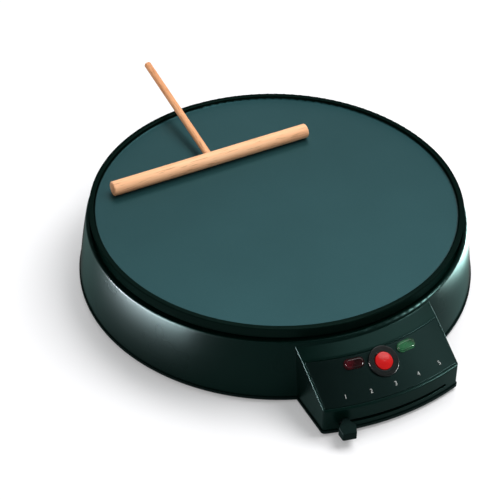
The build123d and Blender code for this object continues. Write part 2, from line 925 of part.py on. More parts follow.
with BuildPart() as fascia_recess:
    panel_band(
        pod_crest_radius + fascia_border,
        pod_front_radius - fascia_border,
        fascia_thickness,
        fascia_thickness,
    )
    keep_front_strip(pod_half_width - fascia_border)

with BuildPart() as skirt_bosses:
    with BuildSketch(Plane.XY.offset(shell_bottom)):
        with Locations(*skirt_boss_places):
            Circle(skirt_boss_radius)
        for place in skirt_boss_places:
            with Locations(place):
                Rectangle(
                    skirt_boss_inset,
                    skirt_boss_web,
                    rotation=degrees(atan2(place.Y, place.X)),
                    align=(Align.MIN, Align.CENTER),
                )
    extrude(amount=skirt_boss_height)
    add(skirt_body.part, mode=Mode.INTERSECT)

with BuildPart() as housing_shell:
    add(skirt_body.part)
    add(pod_body.part)
    add(skirt_cavity.part, mode=Mode.SUBTRACT)
    add(pod_cavity.part, mode=Mode.SUBTRACT)
    add(fascia_recess.part, mode=Mode.SUBTRACT)
    # ledge ring with a stiffening lip and a boss at each plate screw
    holes([Vector(0, 0)], ledge_underside, shell_top, ledge_inner_radius)
    with BuildSketch(Plane.XY.offset(ledge_underside)):
        Circle(ledge_inner_radius + wall)
        Circle(ledge_inner_radius, mode=Mode.SUBTRACT)
    extrude(amount=-ledge_lip_depth)
    with BuildSketch(Plane.XY.offset(ledge_underside)):
        with Locations(*plate_screw_places):
            Circle(seat_boss_radius)
    extrude(amount=-ledge_boss_depth)
    holes(
        plate_screw_places,
        ledge_underside - ledge_boss_depth,
        shell_top,
        plate_screw_radius + hole_clearance,
    )
    # bosses for the base cover's screws
    add(skirt_bosses.part)
    with BuildSketch(Plane.XY.offset(shell_bottom)):
        with Locations(*pod_boss_places):
            Circle(skirt_boss_radius)
    extrude(amount=pod_boss_height)
    holes(
        base_screw_places,
        shell_bottom,
        base_screw_seat + base_screw_length + screw_tip_clearance,
        base_screw_radius + thread_clearance,
    )
    # slot that the temperature lever sweeps along
    with BuildSketch(radial_plane(-slot_half_angle, pod_front_radius - wall / 2, lever_z)):
        Rectangle(2 * wall, lever_thickness + 2 * slot_clearance)
    revolve(axis=Axis.Z, revolution_arc=2 * slot_half_angle, mode=Mode.SUBTRACT)
    # openings through the roof of the pod
    with BuildSketch(button_plane):
        Circle(bezel_neck_radius + fascia_clearance)
    extrude(amount=bezel_depth, both=True, mode=Mode.SUBTRACT)
    for lens_plane in lens_planes:
        with BuildSketch(lens_plane):
            SlotOverall(lens_length + 2 * fascia_clearance, lens_width + 2 * fascia_clearance)
        extrude(amount=lens_depth, both=True, mode=Mode.SUBTRACT)
    # mains inlet
    with BuildSketch(inlet_plane):
        Circle(inlet_body_radius + fit_clearance)
    extrude(amount=2 * wall, both=True, mode=Mode.SUBTRACT)
finish(housing_shell, "housing_shell")

# ------------------------------------------------------------------ control fascia
with BuildPart() as control_fascia:
    panel_band(
        pod_crest_radius + fascia_border + fascia_clearance,
        pod_front_radius - fascia_border - fascia_clearance,
        0,
        fascia_thickness,
        fascia_edge_chamfer,
    )
    keep_front_strip(pod_half_width - fascia_border - fascia_clearance)
    with BuildSketch(button_plane):
        Circle(bezel_neck_radius + fascia_clearance)
    extrude(amount=bezel_depth, both=True, mode=Mode.SUBTRACT)
    for lens_plane in lens_planes:
        with BuildSketch(lens_plane):
            SlotOverall(lens_length + 2 * fascia_clearance, lens_width + 2 * fascia_clearance)
        extrude(amount=lens_depth, both=True, mode=Mode.SUBTRACT)
finish(control_fascia, "control_fascia")

# ------------------------------------------------------------------ push button and its switch
button_section = section_plane(button_plane)
button_axis = Axis(button_plane.origin, button_plane.z_dir)
with BuildPart() as button_bezel:
    with BuildSketch(button_section) as bezel_section:
        with BuildLine():
            Polyline(
                (bezel_bore_radius, -bezel_depth),
                (bezel_neck_radius, -bezel_depth),
                (bezel_neck_radius, 0),
                (bezel_radius, 0),
                (bezel_radius, bezel_height),
                (bezel_bore_radius, bezel_height),
                close=True,
            )
        make_face()
        fillet(bezel_section.vertices().group_by(Axis.Y)[-1], bezel_edge_radius)
    revolve(axis=button_axis)
finish(button_bezel, "button_bezel")

with BuildPart() as power_button:
    with BuildSketch(button_section):
        with BuildLine():
            Polyline(
                (0, button_stand),
                (0, -button_skirt - stem_length),
                (stem_radius, -button_skirt - stem_length),
                (stem_radius, -button_skirt),
                (button_radius, -button_skirt),
                (button_radius, button_stand - button_crown),
            )
            RadiusArc(
                (button_radius, button_stand - button_crown),
                (0, button_stand),
                -(button_radius**2 + button_crown**2) / (2 * button_crown),
            )
        make_face()
    revolve(axis=button_axis)
finish(power_button, "power_button")

with BuildPart() as button_spring:
    spring_radius = (stem_radius + button_radius) / 2
    spring_length = bezel_depth - button_skirt - 2 * (spring_wire + fit_clearance)
    spring_foot = button_plane.offset(-bezel_depth + spring_wire + fit_clearance)
    with BuildLine() as coil:
        Helix(
            spring_length / spring_turns,
            spring_length,
            spring_radius,
            center=spring_foot.origin,
            direction=spring_foot.z_dir,
        )
    with BuildSketch(Plane(origin=coil.line @ 0, z_dir=coil.line % 0)):
        Circle(spring_wire)
    sweep(path=coil.line)
finish(button_spring, "button_spring")

with BuildPart() as switch_body:
    with BuildSketch(button_plane.offset(-bezel_depth)):
        RectangleRounded(switch_size, switch_size, switch_collar)
    extrude(amount=-switch_depth)
    with BuildSketch(button_plane.offset(-roof_seat)):
        Circle(bezel_neck_radius + fit_clearance + switch_collar)
        Circle(bezel_neck_radius + fit_clearance, mode=Mode.SUBTRACT)
    extrude(amount=roof_seat - bezel_depth)
    with BuildSketch(button_plane.offset(-bezel_depth)):
        Circle(stem_radius + stem_gap)
    extrude(amount=bezel_depth - stem_bottom_travelled, mode=Mode.SUBTRACT)
finish(switch_body, "switch_body")

with BuildPart() as switch_tabs:
    with BuildSketch(button_plane.offset(-bezel_depth - switch_depth)):
        with Locations(*switch_tab_offsets):
            Rectangle(tab_width, tab_thickness)
    extrude(amount=-tab_length)
finish(switch_tabs, "switch_tabs")

# ------------------------------------------------------------------ indicator lenses and lamps
for name, lens_plane in zip(("red_lens", "green_lens"), lens_planes):
    with BuildPart() as lens:
        with BuildSketch(lens_plane):
            SlotOverall(lens_length + 2 * lens_flange, lens_width + 2 * lens_flange)
        extrude(amount=lens_flange_height)
        with BuildSketch(lens_plane.offset(lens_flange_height)):
            SlotOverall(lens_length, lens_width)
        extrude(amount=lens_crown)
        crown_edges = lens.faces().sort_by(Axis(lens_plane.origin, lens_plane.z_dir))[-1].edges()
        fillet(crown_edges, lens_edge_radius)
        with BuildSketch(lens_plane):
            SlotOverall(lens_length, lens_width)
        extrude(amount=-lens_depth)
        with BuildSketch(lens_plane.offset(-lens_depth)):
            SlotOverall(lens_length - 2 * lens_wall, lens_width - 2 * lens_wall)
        extrude(amount=lens_depth, mode=Mode.SUBTRACT)
    finish(lens, name)

with BuildPart() as lamp_holders:
    for lens_plane in lens_planes:
        with BuildSketch(lens_plane.offset(-roof_seat)):
            SlotOverall(
                lens_length + 2 * holder_wall + 2 * fit_clearance,
                lens_width + 2 * holder_wall + 2 * fit_clearance,
            )
        extrude(amount=-holder_height)
        with BuildSketch(lens_plane.offset(-roof_seat)):
            SlotOverall(lens_length + 2 * fit_clearance, lens_width + 2 * fit_clearance)
        extrude(amount=roof_seat - lens_depth, mode=Mode.SUBTRACT)
finish(lamp_holders, "lamp_holders")

with BuildPart() as indicator_lamps:
    for lens_plane in lens_planes:
        lamp_centre = lens_plane.offset(lamp_radius - lens_depth).origin
        with BuildSketch(Plane(origin=lamp_centre, z_dir=lens_plane.x_dir)):
            Circle(lamp_radius)
        extrude(amount=lamp_length / 2, both=True)
finish(indicator_lamps, "indicator_lamps")

# ------------------------------------------------------------------ base cover, screws and feet
rail_distance = (block_width + block_rail_width) / 2 + fit_clearance
with BuildPart() as base_cover:
    with BuildSketch(Plane.XY.offset(cover_bottom)) as cover_outline:
        pod_footprint(cover_lip)
        cover_corners = cover_outline.vertices().group_by(Axis.Y)[0]
        fillet(cover_corners, pod_corner_radius + cover_lip)
        Circle(skirt_bottom_radius + cover_lip)
    extrude(amount=cover_thickness)
    # rim that centres the cover in the shell, cut back around the bosses
    rim_radius = skirt_radius(shell_bottom + rim_height) - wall - rim_clearance
    with BuildSketch(Plane.XY.offset(shell_bottom)):
        Circle(rim_radius)
        Circle(rim_radius - rim_width, mode=Mode.SUBTRACT)
        with Locations(*skirt_boss_places):
            Circle(skirt_boss_radius + rim_clearance, mode=Mode.SUBTRACT)
    extrude(amount=rim_height)
    # rails that hold the terminal block
    with BuildSketch(Plane.XY.offset(shell_bottom)):
        with Locations(
            (0, block_distance - rail_distance), (0, block_distance + rail_distance)
        ):
            Rectangle(block_length, block_rail_width)
    extrude(amount=block_rail_height)
    with BuildSketch(Plane.XY.offset(cover_bottom)):
        with PolarLocations(vent_circle, vent_count):
            SlotOverall(vent_length, vent_width)
    extrude(amount=cover_thickness, mode=Mode.SUBTRACT)
    holes(base_screw_places, cover_bottom, shell_bottom, base_screw_radius + hole_clearance)
    holes(
        base_screw_places, cover_bottom, base_screw_seat, base_screw_head_radius + hole_clearance
    )
    holes(foot_places, cover_bottom, shell_bottom, foot_plug_radius + fit_clearance)
finish(base_cover, "base_cover")

with BuildPart() as base_screws:
    screws(
        base_screw_places,
        base_screw_seat,
        base_screw_radius,
        base_screw_length,
        base_screw_head_radius,
        base_screw_head_height,
    )
finish(base_screws, "base_screws")

with BuildPart() as rubber_feet:
    with BuildSketch():
        with Locations(*foot_places):
            Circle(foot_radius)
    extrude(amount=foot_drop)
    fillet(rubber_feet.edges().group_by(Axis.Z)[0], foot_edge_radius)
    with BuildSketch(Plane.XY.offset(foot_drop)):
        with Locations(*foot_places):
            Circle(foot_plug_radius)
    extrude(amount=cover_thickness)
    with BuildSketch(Plane.XY.offset(shell_bottom)):
        with Locations(*foot_places):
            Circle(foot_barb_radius)
    extrude(amount=foot_barb_height, taper=foot_barb_taper)
finish(rubber_feet, "rubber_feet")

# ------------------------------------------------------------------ thermostat
cheek_offset = (thermostat_length + bracket_thickness) / 2 + fit_clearance
with BuildPart() as thermostat_bracket:
    with BuildSketch(Plane.XY.offset(thermostat_top)):
        Rectangle(2 * cheek_offset + bracket_thickness, thermostat_width)
        Rectangle(thermostat_width, thermostat_width + 2 * bracket_ear_length)
    extrude(amount=bracket_thickness)
    with BuildSketch(Plane.XY.offset(thermostat_top)):
        with Locations((-cheek_offset, 0), (cheek_offset, 0)):
            Rectangle(bracket_thickness, thermostat_width)
    extrude(amount=-bracket_cheek_height)
    holes(
        bracket_rivet_places, thermostat_top, pan_underside, rivet_radius + fit_clearance
    )
finish(thermostat_bracket, "thermostat_bracket")

with BuildPart() as thermostat_body:
    with BuildSketch(Plane.XY.offset(thermostat_top)):
        Rectangle(thermostat_length, thermostat_width)
    extrude(amount=-thermostat_height)
    holes(
        [Vector(0, 0)],
        thermostat_bottom,
        thermostat_bottom + spindle_engagement + spindle_end_gap,
        spindle_radius + running_clearance,
    )
finish(thermostat_body, "thermostat_body")

with BuildPart() as thermostat_tabs:
    with BuildSketch(thermostat_tab_plane):
        with Locations((-thermostat_tab_offset, 0), (thermostat_tab_offset, 0)):
            Rectangle(tab_width, tab_thickness)
    extrude(amount=tab_length)
finish(thermostat_tabs, "thermostat_tabs")

with BuildPart() as shield_rivets:
    for places, underside in (
        (bracket_rivet_places, thermostat_top),
        (fuse_rivet_places, pan_underside - strap_thickness),
        ([earth_rivet_place], pan_underside - tab_thickness),
    ):
        with BuildSketch(Plane.XY.offset(underside)):
            with Locations(*places):
                Circle(rivet_radius)
        extrude(amount=pan_floor_top - underside)
        with BuildSketch(Plane.XY.offset(underside)):
            with Locations(*places):
                Circle(rivet_head_radius)
        extrude(amount=-rivet_head_height)
        with BuildSketch(Plane.XY.offset(pan_floor_top)):
            with Locations(*places):
                Circle(rivet_head_radius)
        extrude(amount=rivet_head_height)
finish(shield_rivets, "shield_rivets")

# ------------------------------------------------------------------ sensor bulb and fuse
bulb_level = plate_underside - bulb_radius
with BuildPart() as sensor_bulb:
    with BuildSketch(Plane(origin=(0, bulb_distance, bulb_level), z_dir=(1, 0, 0))):
        Circle(bulb_radius)
    extrude(amount=bulb_length / 2, both=True)
    fillet(sensor_bulb.edges().filter_by(GeomType.CIRCLE), bulb_edge_radius)
    tube(capillary_route, capillary_radius)
finish(sensor_bulb, "sensor_bulb")

with BuildPart() as bulb_straps:
    for place in bulb_strap_places:
        saddle_strap(
            Plane(
                origin=place + Vector(0, 0, bulb_pad_level), x_dir=(0, 1, 0), z_dir=(1, 0, 0)
            ),
            bulb_radius,
            bulb_radius - bulb_pad_height,
            bulb_strap_width,
            strap_ear,
        )
    holes(
        bulb_strap_screw_places,
        bulb_pad_level - strap_thickness,
        bulb_pad_level,
        strap_screw_radius + hole_clearance,
    )
finish(bulb_straps, "bulb_straps")

with BuildPart() as thermal_fuse:
    with BuildSketch(Plane(origin=(fuse_x, fuse_y, fuse_level), z_dir=(0, 1, 0))):
        Circle(fuse_radius)
    extrude(amount=fuse_length / 2, both=True)
finish(thermal_fuse, "thermal_fuse")

with BuildPart() as fuse_strap:
    saddle_strap(
        Plane(origin=(fuse_x, fuse_y, pan_underside), x_dir=(1, 0, 0), z_dir=(0, -1, 0)),
        fuse_radius,
        fuse_radius,
        fuse_strap_width,
        strap_ear,
    )
    holes(
        fuse_rivet_places,
        pan_underside - strap_thickness,
        pan_underside,
        rivet_radius + fit_clearance,
    )
finish(fuse_strap, "fuse_strap")

# ------------------------------------------------------------------ temperature lever
lever_plane = Plane(
    origin=(0, 0, lever_bottom), x_dir=at_bearing(-lever_half_travel, 1.0), z_dir=(0, 0, 1)
)
knob_back = pod_front_radius + knob_gap
lever_reach = knob_back + lever_grip_depth
with BuildPart() as thermostat_spindle:
    with BuildSketch(Plane.XY.offset(lever_top)):
        Circle(spindle_radius)
    extrude(amount=thermostat_bottom + spindle_engagement - lever_top)
    with BuildSketch(Plane.XY.offset(lever_top)):
        Circle(collar_radius)
    extrude(amount=collar_height)
    holes(
        [Vector(0, 0)],
        lever_top,
        lever_bottom + lever_screw_length + screw_tip_clearance,
        lever_screw_radius + thread_clearance,
    )
finish(thermostat_spindle, "thermostat_spindle")

with BuildPart() as lever_arm:
    with BuildSketch(lever_plane):
        Circle(lever_hub_radius)
        Rectangle(
            knob_back - lever_neck_length, lever_width, align=(Align.MIN, Align.CENTER)
        )
        Rectangle(lever_reach, lever_neck_width, align=(Align.MIN, Align.CENTER))
        Circle(lever_screw_radius + hole_clearance, mode=Mode.SUBTRACT)
    extrude(amount=lever_thickness)
finish(lever_arm, "lever_arm")

with BuildPart() as lever_screw:
    screws(
        [Vector(0, 0)],
        lever_bottom,
        lever_screw_radius,
        lever_screw_length,
        lever_screw_head_radius,
        lever_screw_head_height,
    )
finish(lever_screw, "lever_screw")

knob_plane = lever_plane.offset((lever_thickness - knob_height) / 2)
with BuildPart() as slider_knob:
    with BuildSketch(knob_plane):
        with BuildLine():
            Polyline(
                (knob_back, -knob_back_width / 2),
                (knob_back + knob_taper_length, -knob_width / 2),
                (knob_back + knob_length, -knob_front_width / 2),
                (knob_back + knob_length, knob_front_width / 2),
                (knob_back + knob_taper_length, knob_width / 2),
                (knob_back, knob_back_width / 2),
                close=True,
            )
        make_face()
    extrude(amount=knob_height)
    # the top slopes down towards the front
    with BuildSketch(Plane(knob_plane.origin, x_dir=knob_plane.x_dir, z_dir=-knob_plane.y_dir)):
        with BuildLine():
            Polyline(
                (knob_back, knob_height),
                (knob_back + knob_length, knob_height - knob_front_drop),
                (knob_back + knob_length, knob_height),
                close=True,
            )
        make_face()
    extrude(amount=knob_width, both=True, mode=Mode.SUBTRACT)
    outer_edges = slider_knob.edges().filter_by(
        lambda edge: knob_plane.to_local_coords(edge.center()).X > knob_back + fit_clearance
    )
    fillet(outer_edges, knob_edge_radius)
    with BuildSketch(lever_plane.offset(-fit_clearance)):
        Rectangle(
            lever_reach + fit_clearance,
            lever_neck_width + 2 * fit_clearance,
            align=(Align.MIN, Align.CENTER),
        )
    extrude(amount=lever_thickness + 2 * fit_clearance, mode=Mode.SUBTRACT)
finish(slider_knob, "slider_knob")

# ------------------------------------------------------------------ terminal block and earth tab
with BuildPart() as terminal_block:
    with BuildSketch(Plane.XY.offset(shell_bottom)):
        with Locations((0, block_distance)):
            Rectangle(block_length, block_width)
    extrude(amount=block_height)
    with BuildSketch(Plane(origin=(0, block_distance, block_hole_level), z_dir=(0, -1, 0))):
        with Locations(*block_hole_offsets):
            Circle(block_hole_radius)
    extrude(amount=block_width, both=True, mode=Mode.SUBTRACT)
    holes(
        block_screw_places,
        block_screw_seat - block_screw_length,
        block_screw_seat,
        block_screw_radius + thread_clearance,
    )
    holes(
        block_screw_places,
        block_screw_seat,
        shell_bottom + block_height,
        block_screw_head_radius + hole_clearance,
    )
finish(terminal_block, "terminal_block")

with BuildPart() as terminal_screws:
    screws(
        block_screw_places,
        block_screw_seat,
        block_screw_radius,
        block_screw_length,
        block_screw_head_radius,
        block_screw_head_height,
        upward=False,
    )
finish(terminal_screws, "terminal_screws")

with BuildPart() as earth_tab:
    with BuildSketch(Plane.XY.offset(pan_underside)):
        with Locations((earth_tab_x, earth_tab_y)):
            Rectangle(tab_width, earth_tab_ear + tab_thickness, align=(Align.CENTER, Align.MAX))
    extrude(amount=-tab_thickness)
    with BuildSketch(Plane.XY.offset(pan_underside)):
        with Locations((earth_tab_x, earth_tab_y)):
            Rectangle(tab_width, tab_thickness, align=(Align.CENTER, Align.MAX))
    extrude(amount=-earth_tab_drop)
    holes(
        [earth_rivet_place],
        pan_underside - tab_thickness,
        pan_underside,
        rivet_radius + fit_clearance,
    )
finish(earth_tab, "earth_tab")

# ------------------------------------------------------------------ mains inlet bush
with BuildPart() as inlet_bush:
    with BuildSketch(inlet_plane):
        Circle(inlet_flange_radius)
    extrude(amount=wall / 2 + inlet_flange_stand)
    fillet(inlet_bush.edges().sort_by(Axis.Y)[-1], inlet_edge_radius)
    add(skirt_body.part, mode=Mode.SUBTRACT)
    with BuildSketch(inlet_plane):
        Circle(inlet_body_radius)
    extrude(amount=wall / 2 + inlet_flange_stand)
    inlet_body_reach = inlet_inner_length + wall / 2
    with BuildSketch(inlet_plane):
        Circle(inlet_body_radius)
    extrude(amount=-inlet_body_reach)
    with BuildSketch(inlet_plane):
        Circle(inlet_bore_radius)
    extrude(amount=2 * inlet_body_reach, both=True, mode=Mode.SUBTRACT)
finish(inlet_bush, "inlet_bush")

# ------------------------------------------------------------------ internal leads
for name, route_points in lead_routes.items():
    with BuildPart() as lead:
        tube(route_points, lead_radius)
    finish(lead, name)

# ------------------------------------------------------------------ spreader
with BuildPart() as spreader_bar:
    with BuildSketch(Plane(bar_plane.origin, z_dir=bar_plane.x_dir)):
        Circle(bar_radius)
    extrude(amount=bar_length / 2, both=True)
    fillet(spreader_bar.edges().filter_by(GeomType.CIRCLE), bar_edge_radius)
    with BuildSketch(handle_plane.offset(bar_radius - handle_socket_depth)):
        Circle(handle_radius + fit_clearance)
    extrude(amount=bar_radius, mode=Mode.SUBTRACT)
finish(spreader_bar, "spreader_bar")

with BuildPart() as spreader_handle:
    with BuildSketch(handle_plane.offset(bar_radius - handle_socket_depth)):
        Circle(handle_radius)
    extrude(amount=handle_length - bar_radius + handle_socket_depth)
    fillet(spreader_handle.edges().sort_by(Axis.Y)[-1], handle_edge_radius)
finish(spreader_handle, "spreader_handle")
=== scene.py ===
from math import cos, radians, sin

import bpy
from mathutils import Matrix, Vector


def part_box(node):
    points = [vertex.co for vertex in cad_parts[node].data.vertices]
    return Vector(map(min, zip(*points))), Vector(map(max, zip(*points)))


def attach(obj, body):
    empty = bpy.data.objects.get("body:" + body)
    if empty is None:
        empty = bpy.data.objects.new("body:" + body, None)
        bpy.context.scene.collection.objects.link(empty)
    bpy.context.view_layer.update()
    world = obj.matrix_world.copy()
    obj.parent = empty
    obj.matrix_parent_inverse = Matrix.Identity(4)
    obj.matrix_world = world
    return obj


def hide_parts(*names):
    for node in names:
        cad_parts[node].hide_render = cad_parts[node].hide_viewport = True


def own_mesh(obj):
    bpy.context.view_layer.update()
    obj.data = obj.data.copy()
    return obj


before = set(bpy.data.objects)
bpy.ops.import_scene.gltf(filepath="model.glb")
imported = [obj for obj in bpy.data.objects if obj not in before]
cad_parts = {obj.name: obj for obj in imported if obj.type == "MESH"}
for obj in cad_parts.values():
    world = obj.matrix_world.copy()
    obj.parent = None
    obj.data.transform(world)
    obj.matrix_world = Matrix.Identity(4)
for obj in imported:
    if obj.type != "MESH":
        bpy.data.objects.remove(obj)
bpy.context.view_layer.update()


def new_object(name, data):
    """Object that stands in the scene."""
    made = bpy.data.objects.new(name, data)
    bpy.context.scene.collection.objects.link(made)
    return made


def standing(place, x_axis, y_axis, z_axis):
    """World matrix of an object at a place, with its own axes along the three given ones."""
    turned = Matrix((x_axis, y_axis, z_axis)).transposed().to_4x4()
    return Matrix.Translation(place) @ turned


# ------------------------------------------------------------------ camera
# A pinhole fitted to the photograph: lengths in metres, focal length in pixels of its frame.
AZIMUTH, ELEVATION, ROLL = radians(-27.23), radians(40.25), radians(0.84)
DISTANCE, SHIFT_X, SHIFT_Y = 1.480635, 0.020538, -0.011832
FOCAL_PIXELS, FRAME_PIXELS, SENSOR_WIDTH = 1800, 500, 36
CLIP_START, CLIP_END = 0.05, 20
back = Vector(
    (sin(AZIMUTH) * cos(ELEVATION), -cos(AZIMUTH) * cos(ELEVATION), sin(ELEVATION))
)
level_right = Vector((cos(AZIMUTH), sin(AZIMUTH), 0))
level_up = back.cross(level_right)
right = level_right * cos(ROLL) + level_up * sin(ROLL)
up = level_up * cos(ROLL) - level_right * sin(ROLL)
camera_data = bpy.data.cameras.new("camera")
camera_data.sensor_width = SENSOR_WIDTH
camera_data.lens = SENSOR_WIDTH * FOCAL_PIXELS / FRAME_PIXELS
camera_data.clip_start, camera_data.clip_end = CLIP_START, CLIP_END
camera = new_object("camera", camera_data)
camera.matrix_world = standing(
    back * DISTANCE - right * SHIFT_X - up * SHIFT_Y, right, up, back
)
bpy.context.scene.camera = camera
bpy.context.scene.view_settings.view_transform = "Standard"

# ------------------------------------------------------------------ shader building blocks
NOISE_RANGE = NOISE_LOW, NOISE_HIGH = 0.3, 0.7  # a noise texture seldom leaves this range
EDGE_SAMPLES = 6
BLACK, WHITE = (0, 0, 0), (1, 1, 1)


def feed(node, inputs):
    """Gives a node's sockets their values: outputs of other nodes, numbers or colours."""
    for key, value in inputs.items():
        socket = node.inputs[key]
        if isinstance(value, bpy.types.NodeSocket):
            node.id_data.links.new(value, socket)
        elif socket.type == "RGBA":
            socket.default_value = (*value, 1)
        else:
            socket.default_value = value


def add(tree, kind, inputs=None):
    """New shader node with its inputs fed."""
    made = tree.nodes.new("ShaderNode" + kind)
    feed(made, inputs or {})
    return made


def coordinates(tree, stretch=(1, 1, 1), turn=(0, 0, 0)):
    """Object coordinates in metres, turned and then scaled along each axis."""
    source = add(tree, "TexCoord").outputs["Object"]
    turned = add(tree, "Mapping")
    turned.vector_type = "TEXTURE"
    feed(turned, {"Vector": source, "Rotation": turn})
    scaled = add(tree, "Mapping", {"Vector": turned.outputs["Vector"], "Scale": stretch})
    return scaled.outputs["Vector"]


def noise(tree, vector, scale, detail, rough=0.5):
    inputs = {"Vector": vector, "Scale": scale, "Detail": detail, "Roughness": rough}
    return add(tree, "TexNoise", inputs).outputs["Fac"]


def ramp(tree, value, stops):
    """Colour ramp; stops are (place, colour)."""
    made = add(tree, "ValToRGB", {"Fac": value})
    elements = made.color_ramp.elements
    while len(elements) < len(stops):
        elements.new(0.5)
    for element, (place, colour) in zip(elements, stops):
        element.position = place
        element.color = (*colour, 1)
    return made.outputs["Color"]


def remap(tree, value, source, target=(0, 1)):
    """Value carried from one range to another and held at both ends."""
    made = add(tree, "MapRange", {"Value": value})
    feed(made, {"From Min": source[0], "From Max": source[1]})
    feed(made, {"To Min": target[0], "To Max": target[1]})
    return made.outputs["Result"]


def blend(tree, factor, first, second, mode="MIX"):
    """Mix of two colours."""
    made = add(tree, "Mix")
    made.data_type, made.blend_type = "RGBA", mode
    feed(made, {"Factor": factor, "A": first, "B": second})
    return made.outputs["Result"]


def arithmetic(tree, operation, first, second):
    made = add(tree, "Math")
    made.operation = operation
    feed(made, {0: first, 1: second})
    return made.outputs["Value"]


def length(tree, vector):
    made = add(tree, "VectorMath")
    made.operation = "LENGTH"
    feed(made, {0: vector})
    return made.outputs["Value"]


def ray_is(tree, *kinds):
    """1 for rays of the given kinds, 0 for the rest."""
    path = add(tree, "LightPath")
    result = path.outputs[kinds[0]]
    for kind in kinds[1:]:
        result = arithmetic(tree, "MAXIMUM", result, path.outputs[kind])
    return result


def bump(tree, height, strength, distance, below=None):
    """Normal with a fine relief, on top of the normal below where there is one."""
    made = add(tree, "Bump", {"Height": height, "Strength": strength, "Distance": distance})
    if below is not None:
        feed(made, {"Normal": below})
    return made.outputs["Normal"]


def worn_edge(tree, radius):
    """Normal that turns smoothly round a hard edge, as a moulded or cast edge does."""
    made = add(tree, "Bevel", {"Radius": radius})
    made.samples = EDGE_SAMPLES
    return made.outputs["Normal"]


def shaded(colour, share):
    return tuple(min(1.0, c * share) for c in colour)


def mottled(tree, value, colour, darkest, palest):
    """Colour that wanders between two shades of itself."""
    stops = [(NOISE_LOW, shaded(colour, darkest)), (NOISE_HIGH, shaded(colour, palest))]
    return ramp(tree, value, stops)


def new_material(name):
    """Material, its node tree and its principled surface."""
    made = bpy.data.materials.new(name)
    made.use_nodes = True
    return made, made.node_tree, made.node_tree.nodes["Principled BSDF"]


def emptied(holder):
    """Node tree of a material or world, with nothing in it."""
    holder.use_nodes = True
    holder.node_tree.nodes.clear()
    return holder.node_tree


# ------------------------------------------------------------------ kinds of material
# Noise scales are in cycles per metre, bump distances and edge radii in metres.
def tinted_coat(surface, tint):
    """Clear tinted skin that colours what the surface reflects, most at a flat angle."""
    feed(surface, {
        "Coat Weight": 0.75,
        "Coat Roughness": 0.35,
        "Coat IOR": 1.0,
        "Coat Tint": tint,
        "Specular Tint": (0.55, 0.95, 0.90),
    })


def moulded(name, colour, rough, specular=0.5, grain=0.25, skin=None, coat=0.0, edge=0.0):
    """Injection-moulded plastic or rubber: faint flow mottling over a fine spark-eroded grain.

    skin is the tint of a smoked skin, coat the weight of a polish, edge the edges' radius.
    """
    made, tree, surface = new_material(name)
    where = coordinates(tree)
    flow = noise(tree, where, scale=22, detail=3)
    fine = noise(tree, where, scale=2600, detail=2, rough=0.6)
    rounded = worn_edge(tree, edge) if edge else None
    feed(surface, {
        "Base Color": mottled(tree, flow, colour, 0.85, 1.15),
        "Roughness": remap(tree, flow, NOISE_RANGE, (rough * 0.97, rough * 1.04)),
        "Specular IOR Level": specular,
        "Normal": bump(tree, fine, strength=grain, distance=0.00006, below=rounded),
    })
    if skin:
        tinted_coat(surface, skin)
    if coat:
        feed(surface, {"Coat Weight": coat, "Coat Roughness": 0.06})
    return made


def metal(name, colour, rough, stretch=(1, 1, 1)):
    """Drawn, turned or rolled metal: streaks along the working direction and slight tarnish."""
    made, tree, surface = new_material(name)
    streaks = noise(tree, coordinates(tree, stretch), scale=1400, detail=3)
    tarnish = noise(tree, coordinates(tree), scale=60, detail=4)
    feed(surface, {
        "Base Color": mottled(tree, tarnish, colour, 0.8, 1.08),
        "Metallic": 1,
        "Roughness": remap(tree, streaks, NOISE_RANGE, (rough * 0.8, rough * 1.25)),
        "Normal": bump(tree, streaks, strength=0.3, distance=0.00003),
    })
    return made


def fired(name, colour):
    """Unglazed ceramic or mica: chalky, with fine specks."""
    made, tree, surface = new_material(name)
    specks = noise(tree, coordinates(tree), scale=900, detail=5, rough=0.7)
    stops = [(0.33, shaded(colour, 0.62)), (0.45, colour), (0.7, shaded(colour, 1.04))]
    feed(surface, {
        "Base Color": ramp(tree, specks, stops),
        "Roughness": 0.78,
        "Normal": bump(tree, specks, strength=0.35, distance=0.00008),
    })
    return made


def lens(name, lens_body, painted_glow):
    """Coloured lamp lens: glassy skin, a dark body colour with random patches of a paler
    painted glow, faint flutes.
    """
    made, tree, surface = new_material(name)
    where = coordinates(tree)
    glow_patches = noise(tree, where, scale=120, detail=1, rough=0.3)
    flutes = add(tree, "TexWave", {"Vector": where, "Scale": 210, "Distortion": 0.6})
    feed(surface, {
        # The paler colour is painted glow, light painted into the lens's colour.
        "Base Color": ramp(tree, glow_patches, [(0.35, lens_body), (0.65, painted_glow)]),
        "Roughness": 0.14,
        "Specular IOR Level": 0.12,
        "Transmission Weight": 0.08,
        "Coat Weight": 0.2,
        "Coat Roughness": 0.04,
        "Normal": bump(tree, flutes.outputs["Fac"], strength=0.08, distance=0.0002),
    })
    return made


# The plate's lip is this wide, and over the second length the lip's painted shade replaces the
# well's look.
RIM_WIDTH, RIM_BLEND = 0.0056, 0.0008
WELL_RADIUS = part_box("griddle_plate")[1].x - RIM_WIDTH
WELL_DARK, WELL_PALE = (0.0065, 0.028, 0.030), (0.010, 0.037, 0.040)
WELL_SHEEN, WELL_FLECK = (0.26, 0.88, 1.0), (0.20, 0.30, 0.31)
# Painted shade on the lip: a darker colour, a duller reflection tint and a dark coat tint.
RIM_SHADE_COLOUR, RIM_SHADED_SHEEN = (0.0012, 0.0060, 0.0045), (0.16, 0.27, 0.24)
RIM_SHADE_TINT = (0.32, 0.48, 0.45)


